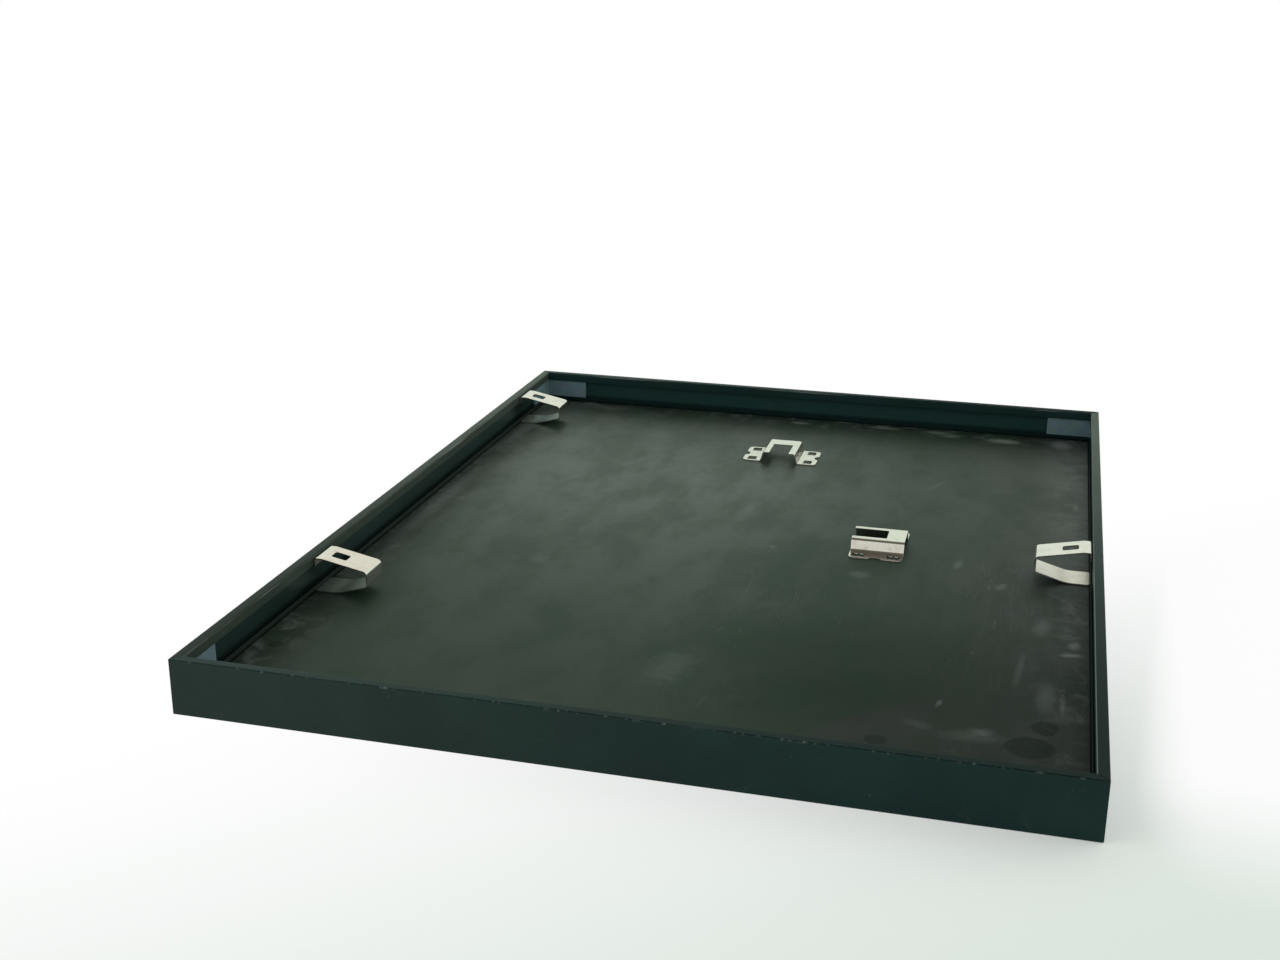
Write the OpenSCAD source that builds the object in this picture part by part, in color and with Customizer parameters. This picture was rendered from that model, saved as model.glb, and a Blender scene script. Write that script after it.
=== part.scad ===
// Slim picture frame, lying on its face with the back upwards.
// Origin: middle of the front face's plane. +Y is the top edge in portrait hanging, +Z is the wall side.

/* [Frame] */
// Outer width
frame_w = 312; // [200:1:420]
// Outer length
frame_l = 412; // [300:1:520]
// Depth of the rails, from front face to rear lip
rail_depth = 21; // [19:0.5:26]

/* [Rail section] */
// Thickness of the outer wall
wall = 1.4; // [1:0.1:1.8]
// Width of the front face
front_w = 7; // [6:0.25:12]
// Thickness of the front face
front_t = 1.4; // [1:0.1:2]
// Width of the rear lip
lip_w = 4; // [3.8:0.1:5]
// Thickness of the rear lip
lip_t = 1.2; // [0.8:0.1:1.6]
// Depth of the flange that turns down along the lip's inner edge, below the lip
lip_drop = 3.1; // [2.4:0.1:4]
// Bevel along the lip's inner arris
lip_bevel = 0.7; // [0.3:0.1:0.8]
// Thickness of the flange and of the rib's turned-up edge
hook_t = 0.9; // [0.7:0.1:1]
// Thickness of the rib under the channel
rib_t = 0.8; // [0.6:0.1:1.2]
// Height of the rib's turned-up edge
rib_hook = 1.05; // [0.6:0.05:1.5]
// Bevel along the rail's arrises
arris = 0.3; // [0.1:0.05:0.5]

/* [Package] */
// Thickness of the clear glazing
glazing_t = 1.2; // [1:0.1:2]
// Thickness of the picture sheet
sheet_t = 0.3; // [0.1:0.05:0.6]
// Thickness of the hardboard back
board_t = 2.5; // [2:0.1:3]
// Clearance between the package and the rear lips, each side
package_clear = 0.35; // [0.2:0.05:0.6]

/* [Corner brackets] */
// Length of each leg, from the bracket's outer corner
bracket_leg = 24.5; // [18:0.5:40]
// Thickness of the bracket's plate
bracket_t = 1.5; // [1:0.05:1.5]
// Inside radius of the bracket's bend
bracket_bend = 0.8; // [0.5:0.1:2]

/* [Spring clips] */
// Width of the spring strip
clip_w = 14.5; // [10:0.5:20]
// Thickness of the spring strip
clip_t = 0.5; // [0.4:0.05:0.6]
// Reach of the clip from the rail's outer face
clip_reach = 27; // [22:0.5:34]
// Distance of the clip's crest from the rail's outer face
clip_crest = 7.5; // [7.5:0.25:9]
// Depth of the crest below the rail's rear face
clip_sink = 1; // [0.6:0.1:1.4]
// Height of the clip's upper fold above the board
clip_fold = 10.5; // [9:0.25:11]
// Height of the clip's heel above the board
clip_heel = 4.2; // [3.5:0.1:5]
// Distance from the rail's outer face to where the lower arm leaves the board
clip_toe = 13.5; // [12:0.25:16]
// Inside radius of the clip's upper fold
clip_bend = 1.5; // [0.6:0.1:2]
// Length of the window in the upper arm
window_l = 6.5; // [4.5:0.25:8]
// Width of the window in the upper arm
window_w = 5.2; // [4.4:0.1:7]

/* [Hangers] */
// Length of the hanger along its slot
hanger_l = 23; // [20:0.5:28]
// Width of the raised plate
hanger_w = 17.2; // [16:0.1:22]
// Width between the outsides of the walls at the board
hanger_base = 19.2; // [18.5:0.1:24]
// Height of the raised plate's top above the board
hanger_h = 5.5; // [5.2:0.1:6.5]
// Thickness of the stamped sheet
hanger_t = 0.6; // [0.5:0.05:1]
// Width of the open slot
slot_w = 10; // [7:0.25:11]
// Length of the open slot
slot_l = 15; // [12:0.5:17]
// Width of each foot, from wall to outer edge
foot_w = 9.2; // [8:0.1:12]
// Radius of the foot's outer corners
foot_round = 2.6; // [1.5:0.1:3]
// Depth of the scallop in the foot's outer edge
scallop = 2; // [1:0.1:2.5]
// Length of each window in the foot, along the slot
foot_window_l = 5.4; // [4.5:0.1:6.5]
// Width of each window in the foot, across the slot
foot_window_w = 4.4; // [3.5:0.1:5]
// How deep the teeth enter the board
tooth_l = 1.9; // [1:0.1:1.9]

/* [Hidden] */

// Overrun of cutting tools past the faces that they cut
over = 1;
// Steps in each rounded bend of a bent strip
bend_steps = 9;
// Gap at each mitred end, half of the visible joint line
mitre_gap = 0.04;
// Clearance between the board and the rib above it
rib_clear = 0.25;
// Clearance of a bracket in its channel
bracket_clear = 0.1;
// Clearance of a clip from the flange that it hooks under and from the board
clip_clear = 0.15;
// Clearance round a hanger's teeth in the board
tooth_clear = 0.1;

// Heights of the package's layers and of the rail's channel
glazing_z = front_t;
sheet_z = glazing_z + glazing_t;
board_z = sheet_z + sheet_t;
board_top = board_z + board_t;
rib_z = board_top + rib_clear;
channel_z = rib_z + rib_t;
rib_top = channel_z + rib_hook;
lip_z = rail_depth - lip_t;
lip_edge_z = lip_z - lip_drop;

// Width and length of the glazing, sheet and board
package_w = frame_w - 2 * (lip_w + package_clear);
package_l = frame_l - 2 * (lip_w + package_clear);

// Hook of the clip: its reach under the flange, and its rounding there and above, at the crest's side
hook_in = 1.7;
hook_bend = 0.6;
neck_bend = 0.8;
// Rounding of the clip's crest, heel and lower arm, and where that arm ends inside the flange's face
crest_bend = 5;
heel_bend = 1.25;
toe_bend = 17;
toe_end = 0.15;
// Distance of the window's near edge from the rail's outer face
window_x = 9.5;

// Inside radius of the hanger's bends, and the sheet left beyond its windows, across and along the slot
hanger_bend = 0.7;
foot_rim = 2.3;
foot_rim_end = 1.3;
window_round = 0.8;
slot_round = 0.6;
scallop_r = 3.4;
// Teeth of the hanger
tooth_w = 1.75;
tooth_gap = 0.7;
tooth_root = 0.3;
tooth_shoulder_share = 0.35;

// Clip centres along the rails, as shares of the frame's length
clip_left_lower_share = -0.232;
clip_left_upper_share = 0.383;
clip_right_share = -0.0085;
// Hanger centres, as shares of the frame's width and length
hanger_portrait_share = [-0.004, 0.313];
hanger_landscape_share = [0.201, 0.031];

hanger_portrait_place = [frame_w * hanger_portrait_share.x, frame_l * hanger_portrait_share.y];
hanger_landscape_place = [frame_w * hanger_landscape_share.x, frame_l * hanger_landscape_share.y];

function unit(v) = v / norm(v);

// Points of the arc of radius r that rounds corner b between a and c
function rounded_corner(a, b, c, r) =
    let (u = unit(a - b), v = unit(c - b), half = acos(u * v) / 2,
        centre = b + unit(u + v) * r / sin(half),
        start = b + u * r / tan(half) - centre,
        turn = cross(b - a, c - b) > 0 ? 1 : -1,
        from = atan2(start.y, start.x))
    [for (i = [0:bend_steps])
        let (angle = from + turn * (180 - 2 * half) * i / bend_steps)
        centre + r * [cos(angle), sin(angle)]];

// Path through the points, each given as [point, radius], with its inner corners rounded
function rounded_path(stops) =
    [for (i = [0:len(stops) - 1])
        each i == 0 || i == len(stops) - 1
            ? [stops[i][0]]
            : rounded_corner(stops[i - 1][0], stops[i][0], stops[i + 1][0], stops[i][1])];

// Direction across the path at point i, to its left
function across(path, i) =
    let (before = i == 0 ? path[1] - path[0] : path[i] - path[i - 1],
        after = i == len(path) - 1 ? before : path[i + 1] - path[i],
        along = unit(unit(before) + unit(after)))
    [-along.y, along.x];

// Section of a sheet of thickness t, bent along the path as its middle line
module bent_section(path, t) {
    last = len(path) - 1;
    polygon(concat(
        [for (i = [0:last]) path[i] + across(path, i) * t / 2],
        [for (i = [last:-1:0]) path[i] - across(path, i) * t / 2]));
}

// Rectangle round the origin with rounded corners
module rounded_plate(w, l, r) {
    square([w - 2 * r, l], center = true);
    square([w, l - 2 * r], center = true);
    for (x = [-1, 1], y = [-1, 1])
        translate([x * (w / 2 - r), y * (l / 2 - r)]) circle(r, $fn = 32);
}

// Rail section: x inwards from the outer face, y up from the front face
module rail_section() {
    polygon([
        [0, arris], [arris, 0],
        [front_w - arris, 0], [front_w, arris], [front_w, front_t],
        [wall, front_t], [wall, rib_z],
        [lip_w, rib_z], [lip_w, rib_top], [lip_w - hook_t, rib_top],
        [lip_w - hook_t, channel_z], [wall, channel_z],
        [wall, lip_z], [lip_w - hook_t, lip_z],
        [lip_w - hook_t, lip_edge_z], [lip_w, lip_edge_z],
        [lip_w, rail_depth - lip_bevel], [lip_w - lip_bevel, rail_depth],
        [arris, rail_depth], [0, rail_depth - arris]]);
}

// Rail of the given length along X, its outer face on the plane y = 0, with both ends mitred
module mitred_rail(length) {
    deep = front_w + over;
    half = length / 2 - mitre_gap;
    intersection() {
        translate([-length / 2, 0, 0]) rotate([90, 0, 90])
            linear_extrude(length) rail_section();
        translate([0, 0, -over]) linear_extrude(rail_depth + 2 * over)
            polygon([[-half, 0], [half, 0], [half - deep, deep], [deep - half, deep]]);
    }
}

module rail(length, offset, turn) {
    color([0.09, 0.12, 0.12])
        rotate(turn) translate([0, -offset, 0]) mitred_rail(length);
}

module rail_bottom() { rail(frame_w, frame_l / 2, 0); }
module rail_top() { rail(frame_w, frame_l / 2, 180); }
module rail_left() { rail(frame_l, frame_w / 2, -90); }
module rail_right() { rail(frame_l, frame_w / 2, 90); }

// Bent corner plate that stands in the channels of two rails, at the corner x < 0, y < 0
module corner_bracket() {
    inset = wall + bracket_clear + bracket_t / 2;
    corner = [inset - frame_w / 2, inset - frame_l / 2];
    leg = bracket_leg - bracket_t / 2;
    color([0.27, 0.31, 0.35])
        translate([0, 0, channel_z + bracket_clear])
            linear_extrude(lip_z - channel_z - 2 * bracket_clear)
                bent_section(rounded_path([
                    [corner + [leg, 0], 0],
                    [corner, bracket_bend + bracket_t / 2],
                    [corner + [0, leg], 0]]), bracket_t);
}

module bracket_bottom_left() { corner_bracket(); }
module bracket_bottom_right() { mirror([1, 0, 0]) corner_bracket(); }
module bracket_top_left() { mirror([0, 1, 0]) corner_bracket(); }
module bracket_top_right() { rotate(180) corner_bracket(); }

// Flat layer of the package
module layer(z, t) {
    translate([-package_w / 2, -package_l / 2, z]) cube([package_w, package_l, t]);
}

module glazing() { color([0.8, 0.88, 0.88, 0.4]) layer(glazing_z, glazing_t); }

module picture_sheet() { color([0.93, 0.92, 0.88]) layer(sheet_z, sheet_t); }

// Hardboard back, with pockets for the teeth of both hangers
module back_board() {
    color([0.2, 0.21, 0.19])
        difference() {
            layer(board_z, board_t);
            at_portrait() teeth_do() tooth_pocket();
            at_landscape() teeth_do() tooth_pocket();
        }
}

// Middle line of the clip's strip: x from the rail's outer face, y up from the front face
function clip_path() =
    let (tuck = clip_t / 2 + clip_clear,
        neck_x = lip_w + tuck,
        hook_z = lip_edge_z - tuck,
        crest_z = rail_depth - clip_sink - clip_t / 2,
        board_line = board_top + tuck,
        fold_x = clip_reach - clip_t / 2)
    rounded_path([
        [[lip_w - hook_in, hook_z], 0],
        [[neck_x, hook_z], hook_bend],
        [[neck_x, crest_z], neck_bend],
        [[clip_crest, crest_z], crest_bend],
        [[fold_x, board_top + clip_fold], clip_bend + clip_t / 2],
        [[fold_x, board_top + clip_heel], heel_bend],
        [[clip_toe, board_line], toe_bend],
        [[lip_w + toe_end, board_line], 0]]);

// Hairpin spring clip on the left rail, centred on y = 0
module spring_clip() {
    color([0.8, 0.79, 0.74])
        translate([-frame_w / 2, 0, 0])
            difference() {
                translate([0, clip_w / 2, 0]) rotate([90, 0, 0])
                    linear_extrude(clip_w) bent_section(clip_path(), clip_t);
                translate([window_x, -window_w / 2, board_top + clip_fold])
                    cube([window_l, window_w, rail_depth]);
            }
}

module clip_left_lower() { translate([0, frame_l * clip_left_lower_share, 0]) spring_clip(); }
module clip_left_upper() { translate([0, frame_l * clip_left_upper_share, 0]) spring_clip(); }
module clip_right() { translate([0, frame_l * clip_right_share, 0]) mirror([1, 0, 0]) spring_clip(); }

module at_portrait() {
    translate([hanger_portrait_place.x, hanger_portrait_place.y, board_top]) children();
}

module at_landscape() {
    translate([hanger_landscape_place.x, hanger_landscape_place.y, board_top]) rotate(-90) children();
}

// Middle line of the hanger's section: x across the slot, y up from the board
function hanger_path() =
    let (low = hanger_t / 2, high = hanger_h - hanger_t / 2,
        base = (hanger_base - hanger_t) / 2, top = (hanger_w - hanger_t) / 2,
        edge = hanger_base / 2 + foot_w, r = hanger_bend + hanger_t / 2)
    rounded_path([
        [[-edge, low], 0], [[-base, low], r], [[-top, high], r],
        [[top, high], r], [[base, low], r], [[edge, low], 0]]);

// Places its children at the middle of each foot window's wall side, x pointing away from the wall
module foot_windows_do() {
    x = hanger_base / 2 + foot_w - foot_rim - foot_window_w;
    y = hanger_l / 2 - foot_rim_end - foot_window_l / 2;
    for (side = [0, 1], end = [-1, 1])
        mirror([side, 0, 0]) translate([x, end * y, 0]) children();
}

// Plan of the hanger: plate, feet with rounded outer corners and a scallop between the lobes
module hanger_plan() {
    edge = hanger_base / 2 + foot_w;
    difference() {
        rounded_plate(2 * edge, hanger_l, foot_round);
        for (side = [-1, 1])
            translate([side * (edge + scallop_r - scallop), 0]) circle(scallop_r, $fn = 48);
    }
}

// Open slot, its closed end towards +y
module hanger_slot() {
    translate([0, -hanger_l / 2]) {
        translate([-slot_w / 2, -over]) square([slot_w, slot_l + over - slot_round]);
        translate([slot_round - slot_w / 2, 0]) square([slot_w - 2 * slot_round, slot_l]);
        for (side = [-1, 1])
            translate([side * (slot_w / 2 - slot_round), slot_l - slot_round])
                circle(slot_round, $fn = 24);
    }
}

// Places its children at the root of each tooth: two at the wall side of each foot window
module teeth_do() {
    foot_windows_do()
        for (side = [-1, 1])
            translate([-tooth_root, side * (tooth_gap + tooth_w) / 2, 0]) children();
}

// Pointed tooth, bent down into the board
module tooth() {
    shoulder = tooth_l * tooth_shoulder_share;
    rotate([90, 0, 90]) linear_extrude(hanger_t)
        polygon([
            [-tooth_w / 2, hanger_t], [-tooth_w / 2, -shoulder], [0, -tooth_l],
            [tooth_w / 2, -shoulder], [tooth_w / 2, hanger_t]]);
}

module tooth_pocket() {
    deep = tooth_l + tooth_clear;
    translate([-tooth_clear, -tooth_w / 2 - tooth_clear, -deep])
        cube([hanger_t + 2 * tooth_clear, tooth_w + 2 * tooth_clear, deep + over]);
}

// Stamped hanger: a raised plate with an open slot, two walls and two feet with toothed windows
module hanger() {
    color([0.78, 0.78, 0.72]) {
        difference() {
            intersection() {
                translate([0, hanger_l / 2, 0]) rotate([90, 0, 0])
                    linear_extrude(hanger_l) bent_section(hanger_path(), hanger_t);
                translate([0, 0, -over]) linear_extrude(hanger_h + 2 * over) hanger_plan();
            }
            translate([0, 0, hanger_h - hanger_t - hanger_bend])
                linear_extrude(hanger_t + hanger_bend + over) hanger_slot();
            foot_windows_do()
                translate([foot_window_w / 2, 0, -over]) linear_extrude(hanger_t + 2 * over)
                    rounded_plate(foot_window_w, foot_window_l, window_round);
        }
        teeth_do() tooth();
    }
}

module hanger_portrait() { at_portrait() hanger(); }
module hanger_landscape() { at_landscape() hanger(); }

rail_bottom();
rail_top();
rail_left();
rail_right();
bracket_bottom_left();
bracket_bottom_right();
bracket_top_left();
bracket_top_right();
glazing();
picture_sheet();
back_board();
clip_left_lower();
clip_left_upper();
clip_right();
hanger_portrait();
hanger_landscape();
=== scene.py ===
"""Studio scene of a slim black picture frame, which lies on its face with its back upwards.

The classes hold their sizes in millimetres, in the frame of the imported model: x runs to the right and y to the top
edge when the back is seen, and z runs from the front face to the wall side. Meshes are made in metres.
"""

from __future__ import annotations

import itertools
import logging
import math
from dataclasses import dataclass
from enum import Enum
from typing import Any, Callable, Iterable, Mapping, NamedTuple, Sequence, Union

import bmesh
import bpy
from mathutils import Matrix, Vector

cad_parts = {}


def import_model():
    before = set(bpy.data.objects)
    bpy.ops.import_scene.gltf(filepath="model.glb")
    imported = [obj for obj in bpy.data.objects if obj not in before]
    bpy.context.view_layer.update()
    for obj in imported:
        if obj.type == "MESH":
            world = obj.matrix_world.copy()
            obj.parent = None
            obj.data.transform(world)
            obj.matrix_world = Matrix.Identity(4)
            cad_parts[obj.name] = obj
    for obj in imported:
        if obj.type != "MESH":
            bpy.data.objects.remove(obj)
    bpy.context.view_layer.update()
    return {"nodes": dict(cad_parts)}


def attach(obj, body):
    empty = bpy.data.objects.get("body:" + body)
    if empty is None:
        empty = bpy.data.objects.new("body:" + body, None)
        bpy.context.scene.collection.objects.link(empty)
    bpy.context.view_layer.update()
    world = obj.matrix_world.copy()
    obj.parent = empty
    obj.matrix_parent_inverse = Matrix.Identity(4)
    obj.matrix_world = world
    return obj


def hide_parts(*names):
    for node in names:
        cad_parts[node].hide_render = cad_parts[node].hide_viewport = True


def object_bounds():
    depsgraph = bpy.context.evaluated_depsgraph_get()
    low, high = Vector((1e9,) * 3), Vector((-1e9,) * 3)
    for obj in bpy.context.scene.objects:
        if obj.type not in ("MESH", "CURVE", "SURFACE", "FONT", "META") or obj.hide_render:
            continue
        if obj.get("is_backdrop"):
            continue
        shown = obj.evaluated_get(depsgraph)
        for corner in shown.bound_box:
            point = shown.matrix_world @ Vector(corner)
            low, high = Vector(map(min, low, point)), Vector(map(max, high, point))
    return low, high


MM = 0.001
TINY = 1e-6
FLAT_TURN = 1e-4
CUT_EDGE_DEG = 60
SEARCH_STEP = 0.01

log = logging.getLogger("picture_frame")

Point = tuple[float, float]
Step = tuple[float, float]
Triple = tuple[float, float, float]
Colour = tuple[float, float, float]
Stops = tuple[tuple[float, Colour], ...]


# ---------------------------------------------------------------- bent sheet and outlines


@dataclass(frozen=True)
class Corner:
    """Corner of an outline or of a bent line.

    Args:
        u: First coordinate in millimetres.
        v: Second coordinate in millimetres.
        radius: Radius of the arc that rounds the corner; 0 leaves it sharp.
    """

    u: float
    v: float
    radius: float = 0.0

    @property
    def at(self) -> Vector:
        """The corner as a vector."""
        return Vector((self.u, self.v))


def heading_of(direction: Vector) -> float:
    """Angle of a direction, in radians, anticlockwise from the first axis."""
    return math.atan2(direction.y, direction.x)


def left_of(heading: float) -> Vector:
    """Unit vector to the left of a heading."""
    return Vector((-math.sin(heading), math.cos(heading)))


@dataclass(frozen=True)
class Run:
    """Straight run or arc of a bent line.

    Args:
        start: Where the run starts.
        heading: Its direction there, in radians.
        length: Its length.
        curvature: One over its radius, positive to the left, or 0 for a straight run.
    """

    start: Vector
    heading: float
    length: float
    curvature: float = 0.0

    def at(self, along: float) -> tuple[Vector, float]:
        """Point and heading at a distance along the run.

        Args:
            along: Distance from the run's start.

        Returns:
            The point and the heading there.
        """
        heading = self.heading + self.curvature * along
        if self.curvature == 0.0:
            return self.start + along * Vector((math.cos(heading), math.sin(heading))), heading
        radius = 1.0 / self.curvature
        return self.start + radius * (left_of(self.heading) - left_of(heading)), heading


def rounding(before: Corner, corner: Corner, after: Corner) -> tuple[Run, Vector]:
    """Arc that rounds the middle one of three corners.

    Args:
        before: The first corner.
        corner: The middle one.
        after: The last one.

    Returns:
        The arc, which has no length at a sharp corner, and the point where it ends.
    """
    come, go = corner.at - before.at, after.at - corner.at
    turn = math.atan2(come.x * go.y - come.y * go.x, come.dot(go))
    cut = corner.radius * math.tan(abs(turn) / 2)
    way = come.normalized()
    curvature = math.copysign(1.0 / corner.radius, turn) if corner.radius > 0.0 else 0.0
    arc = Run(corner.at - way * cut, heading_of(way), corner.radius * abs(turn), curvature)
    return arc, corner.at + go.normalized() * cut


class BentLine:
    """Middle line of a bent sheet: straight runs joined by arcs, measured by its developed length."""

    def __init__(self, corners: Sequence[Corner]) -> None:
        """Joins the runs and arcs.

        Args:
            corners: The line's ends and corners, in order.
        """
        self.runs: list[Run] = []
        start = corners[0].at
        for trio in zip(corners, corners[1:], corners[2:]):
            arc, end = rounding(*trio)
            self._straight(start, arc.start)
            if arc.curvature:
                self.runs.append(arc)
            start = end
        self._straight(start, corners[-1].at)
        self.length = sum(run.length for run in self.runs)

    def _straight(self, start: Vector, end: Vector) -> None:
        """Adds a straight run, if its ends lie apart.

        Args:
            start: Where it starts.
            end: Where it ends.
        """
        way = end - start
        if way.length > TINY:
            self.runs.append(Run(start, heading_of(way), way.length))

    def at(self, along: float) -> tuple[Vector, float]:
        """Point and heading at a developed length.

        Args:
            along: Developed length from the line's start.

        Returns:
            The point and the heading there.
        """
        for run in self.runs:
            if along <= run.length:
                return run.at(along)
            along -= run.length
        last = self.runs[-1]
        return last.at(last.length + along)

    def along_at(self, u: float) -> float:
        """Developed length at which the line first passes a first coordinate."""
        steps = range(int(self.length / SEARCH_STEP))
        return SEARCH_STEP * min(steps, key=lambda i: (abs(self.at(i * SEARCH_STEP)[0].x - u) > 2 * SEARCH_STEP, i))

    def stations(self, step: float) -> list[float]:
        """Developed lengths at which a flat pattern is scored, so that its arcs bend smoothly.

        Args:
            step: Largest turn between two scores, in radians.

        Returns:
            The developed lengths, from start to end.
        """
        scores: list[float] = []
        done = 0.0
        for run in self.runs:
            if run.curvature:
                count = max(2, math.ceil(run.length * abs(run.curvature) / step))
                scores += [done + run.length * i / count for i in range(count + 1)]
            done += run.length
        return scores


def rounded_outline(corners: Sequence[Corner], steps: int = 5) -> list[Point]:
    """Closed outline with its corners rounded.

    Args:
        corners: The corners, in order.
        steps: Pieces in each arc.

    Returns:
        The outline's points.
    """
    points: list[Point] = []
    for i, corner in enumerate(corners):
        arc, _ = rounding(corners[i - 1], corner, corners[(i + 1) % len(corners)])
        if arc.length <= corner.radius * FLAT_TURN:
            points.append((corner.u, corner.v))
        else:
            points += [arc.at(arc.length * k / steps)[0].to_tuple() for k in range(steps + 1)]
    return points


def rounded_box(low: Point, high: Point, radius: float) -> list[Point]:
    """Rectangle with rounded corners."""
    (a, b), (c, d) = low, high
    return rounded_outline([Corner(u, v, radius) for u, v in ((a, b), (c, b), (c, d), (a, d))])


def split_wide_faces(mesh: bmesh.types.BMesh) -> None:
    """Cuts the faces of more than four corners into triangles."""
    bmesh.ops.triangulate(mesh, faces=[face for face in mesh.faces if len(face.verts) > 4])


@dataclass(frozen=True)
class SheetMetal:
    """Sheet that is punched flat and then bent along a line.

    Args:
        line: Middle line of the bent sheet.
        thickness: The sheet's thickness.
        burr: How far its cut edges are rounded.
        step_deg: Largest turn between two scores of a bend, in degrees.
    """

    line: BentLine
    thickness: float
    burr: float
    step_deg: float = 8.0

    def blank(self, outline: Sequence[Point], holes: Iterable[Sequence[Point]]) -> bmesh.types.BMesh:
        """Punches the flat sheet and deburrs its cut edges.

        Args:
            outline: The sheet's outline.
            holes: Outlines of its holes.

        Returns:
            The sheet's mesh in millimetres, from z = 0 up to the thickness.
        """
        mesh = bmesh.new()
        edges = []
        for ring in (outline, *holes):
            verts = [mesh.verts.new((u, v, 0.0)) for u, v in ring]
            edges += [mesh.edges.new(pair) for pair in zip(verts, verts[1:] + verts[:1])]
        bmesh.ops.triangle_fill(mesh, use_beauty=True, use_dissolve=False, edges=edges)
        grown = bmesh.ops.extrude_face_region(mesh, geom=mesh.faces[:])
        top = [item for item in grown["geom"] if isinstance(item, bmesh.types.BMVert)]
        bmesh.ops.translate(mesh, vec=(0.0, 0.0, self.thickness), verts=top)
        bmesh.ops.recalc_face_normals(mesh, faces=mesh.faces[:])
        rims = [
            edge
            for edge in mesh.edges
            if len(edge.link_faces) == 2
            and edge.calc_face_angle() > math.radians(CUT_EDGE_DEG)
            and abs(edge.verts[0].co.z - edge.verts[1].co.z) < TINY
        ]
        bmesh.ops.bevel(mesh, geom=rims, offset=self.burr, segments=2, profile=0.5, affect="EDGES", clamp_overlap=True)
        return mesh

    def form(
        self,
        outline: Sequence[Point],
        holes: Iterable[Sequence[Point]],
        place: Callable[[float, float, float], Vector],
    ) -> bmesh.types.BMesh:
        """Punches, bends and places the sheet.

        Args:
            outline: Flat outline: developed length, then place across the line.
            holes: Flat outlines of the holes.
            place: Gives the place in the model of a point of the bent sheet, from the line's two coordinates and
                the place across it.

        Returns:
            The sheet's mesh, in millimetres.
        """
        mesh = self.blank(outline, holes)
        for score in self.line.stations(math.radians(self.step_deg)):
            geom = [*mesh.verts, *mesh.edges, *mesh.faces]
            bmesh.ops.bisect_plane(mesh, geom=geom, plane_co=(score, 0.0, 0.0), plane_no=(1.0, 0.0, 0.0))
        split_wide_faces(mesh)
        for vert in mesh.verts:
            at, heading = self.line.at(vert.co.x)
            at = at + left_of(heading) * (vert.co.z - self.thickness / 2)
            vert.co = place(at.x, at.y, vert.co.y)
        bmesh.ops.recalc_face_normals(mesh, faces=mesh.faces[:])
        return mesh


# ---------------------------------------------------------------- shader graphs


class Wire:
    """Output socket of a shader node. Arithmetic on it adds Math nodes to its graph."""

    def __init__(self, graph: Graph, socket: bpy.types.NodeSocket) -> None:
        """Keeps the socket and the graph that holds its node."""
        self.graph = graph
        self.socket = socket

    def _with(self, operation: str, first: Value, second: Value) -> Wire:
        """Math node on two values."""
        return self.graph.node("Math", {0: first, 1: second}, operation=operation)

    def __add__(self, other: Value) -> Wire:
        """Sum."""
        return self._with("ADD", self, other)

    def __sub__(self, other: Value) -> Wire:
        """Difference."""
        return self._with("SUBTRACT", self, other)

    def __rsub__(self, other: Value) -> Wire:
        """Difference, the other way round."""
        return self._with("SUBTRACT", other, self)

    def __mul__(self, other: Value) -> Wire:
        """Product."""
        return self._with("MULTIPLY", self, other)

    def __truediv__(self, other: Value) -> Wire:
        """Quotient."""
        return self._with("DIVIDE", self, other)

    def __abs__(self) -> Wire:
        """Size without its sign."""
        return self._with("ABSOLUTE", self, 0.0)

    __radd__ = __add__
    __rmul__ = __mul__

    def larger(self, other: Value) -> Wire:
        """The larger of two values."""
        return self._with("MAXIMUM", self, other)

    def smaller(self, other: Value) -> Wire:
        """The smaller of two values."""
        return self._with("MINIMUM", self, other)

    def rising(self, low: float, high: float) -> Wire:
        """Soft step from 0 at low to 1 at high."""
        limits = {"Value": self, "From Min": low, "From Max": high}
        return self.graph.node("MapRange", limits, interpolation_type="SMOOTHSTEP")

    def part(self, name: str) -> Wire:
        """Another output of the same node."""
        return Wire(self.graph, self.socket.node.outputs[name])


Value = Union[float, Wire]
Tone = Union[Colour, Wire]


class Clouds(NamedTuple):
    """Cloudy noise from 0 to 1.

    Args:
        size: Size of its largest clouds, in millimetres.
        detail: Number of finer layers.
        rough: Weight of each finer layer.
        warp: How far the clouds are drawn out.
        stretch: Factors on the three axes of the place at which it is read.
    """

    size: float
    detail: float = 3.0
    rough: float = 0.55
    warp: float = 0.0
    stretch: Triple = (1.0, 1.0, 1.0)


class Specks(NamedTuple):
    """Scattered round specks.

    Args:
        cell: Mean distance between the places of specks, in millimetres.
        radius: Largest radius of a speck.
        share: Share of the places that hold one.
    """

    cell: float
    radius: float
    share: float


class Spot(NamedTuple):
    """Place on a piece, in millimetres of the model at rest.

    Args:
        whole: The place as a vector.
        x: Its first coordinate.
        y: Its second one.
        z: Its third one.
    """

    whole: Wire
    x: Wire
    y: Wire
    z: Wire


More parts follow.
